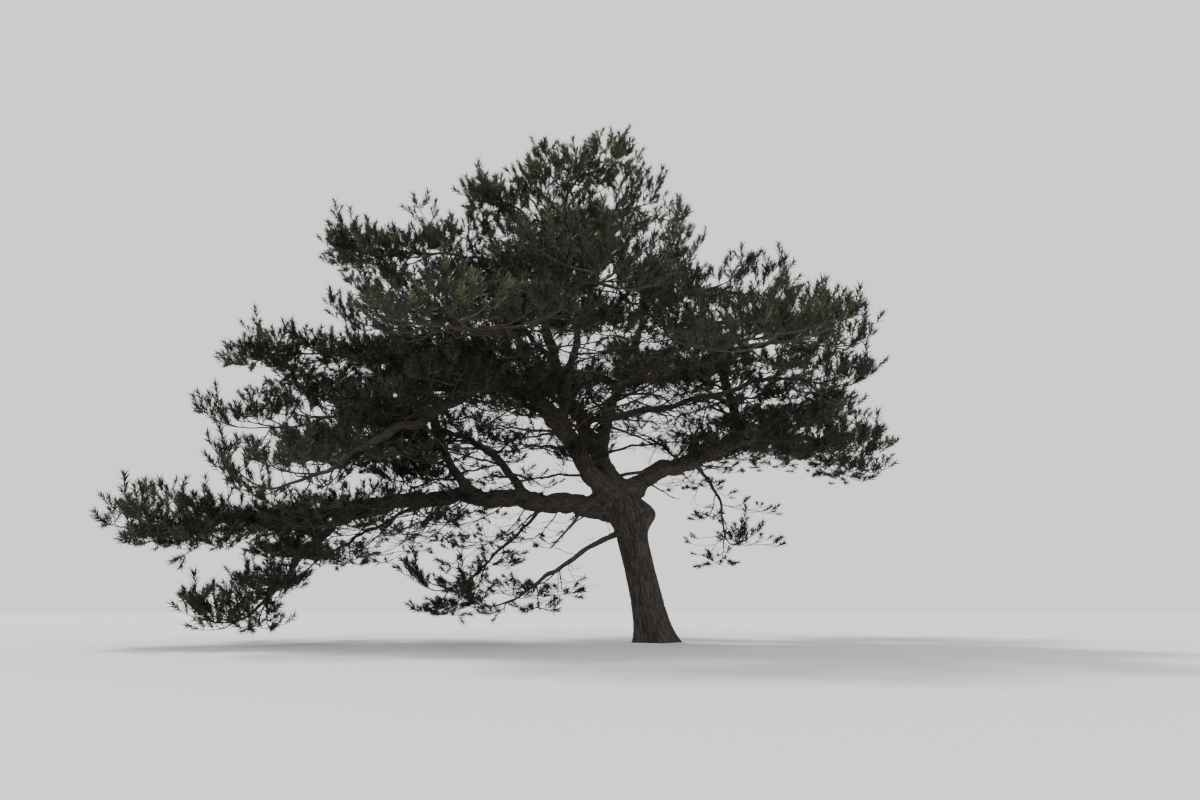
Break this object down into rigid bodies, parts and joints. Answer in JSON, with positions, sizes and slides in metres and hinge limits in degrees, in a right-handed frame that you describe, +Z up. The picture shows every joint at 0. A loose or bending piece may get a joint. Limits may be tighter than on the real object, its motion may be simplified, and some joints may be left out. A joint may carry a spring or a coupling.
{
  "type": "pine tree",
  "caption": "Broad open-grown pine: a leaning trunk with a root flare forks low into long tapering boughs that carry separate masses of needle sprays.",
  "frame": {"origin": "middle of the flat cut under the trunk, at ground level", "axes": "+Z up the tree, -X towards the longest low bough (left in the picture), -Y towards the side seen in the picture"},
  "size_m": [13.3842, 11.6281, 9.2486],
  "materials": {
    "bark": "rough fissured bark, grey-brown plates with darker furrows, dull",
    "needles": "dark green needles in brush-like sprays, dull with a slight sheen"
  },
  "bodies": {
    "root": {"trunk": "bark", "left_bough": "bark", "left_far_bough": "bark", "left_riser": "bark", "left_slanting_riser": "bark", "left_under_bough": "bark", "hanging_bough": "bark", "low_bough": "bark", "left_leader": "bark", "arching_bough": "bark", "left_middle_bough": "bark", "left_upper_bough": "bark", "front_left_bough": "bark", "main_leader": "bark", "top_left_bough": "bark", "crown_left_bough": "bark", "middle_left_bough": "bark", "front_high_bough": "bark", "top_right_bough": "bark", "long_right_bough": "bark", "right_stem": "bark", "back_right_bough": "bark", "back_left_bough": "bark", "right_bough": "bark", "right_leader": "bark", "right_upper_bough": "bark", "right_middle_bough": "bark", "front_right_bough": "bark", "right_low_bough": "bark", "right_hanging_bough": "bark", "right_back_bough": "bark", "left_low_needles": "needles", "left_far_needles": "needles", "left_riser_needles": "needles", "left_back_needles": "needles", "left_under_needles": "needles", "hanging_needles": "needles", "low_needles": "needles", "arching_needles": "needles", "left_middle_needles": "needles", "left_upper_needles": "needles", "front_left_needles": "needles", "crown_top_needles": "needles", "top_left_needles": "needles", "crown_left_needles": "needles", "middle_left_needles": "needles", "front_high_needles": "needles", "top_right_needles": "needles", "long_right_needles": "needles", "back_top_needles": "needles", "back_right_needles": "needles", "back_left_needles": "needles", "right_top_needles": "needles", "right_upper_needles": "needles", "right_middle_needles": "needles", "front_right_needles": "needles", "right_low_needles": "needles", "right_hanging_needles": "needles", "right_back_needles": "needles"}
  },
  "joints": []
}
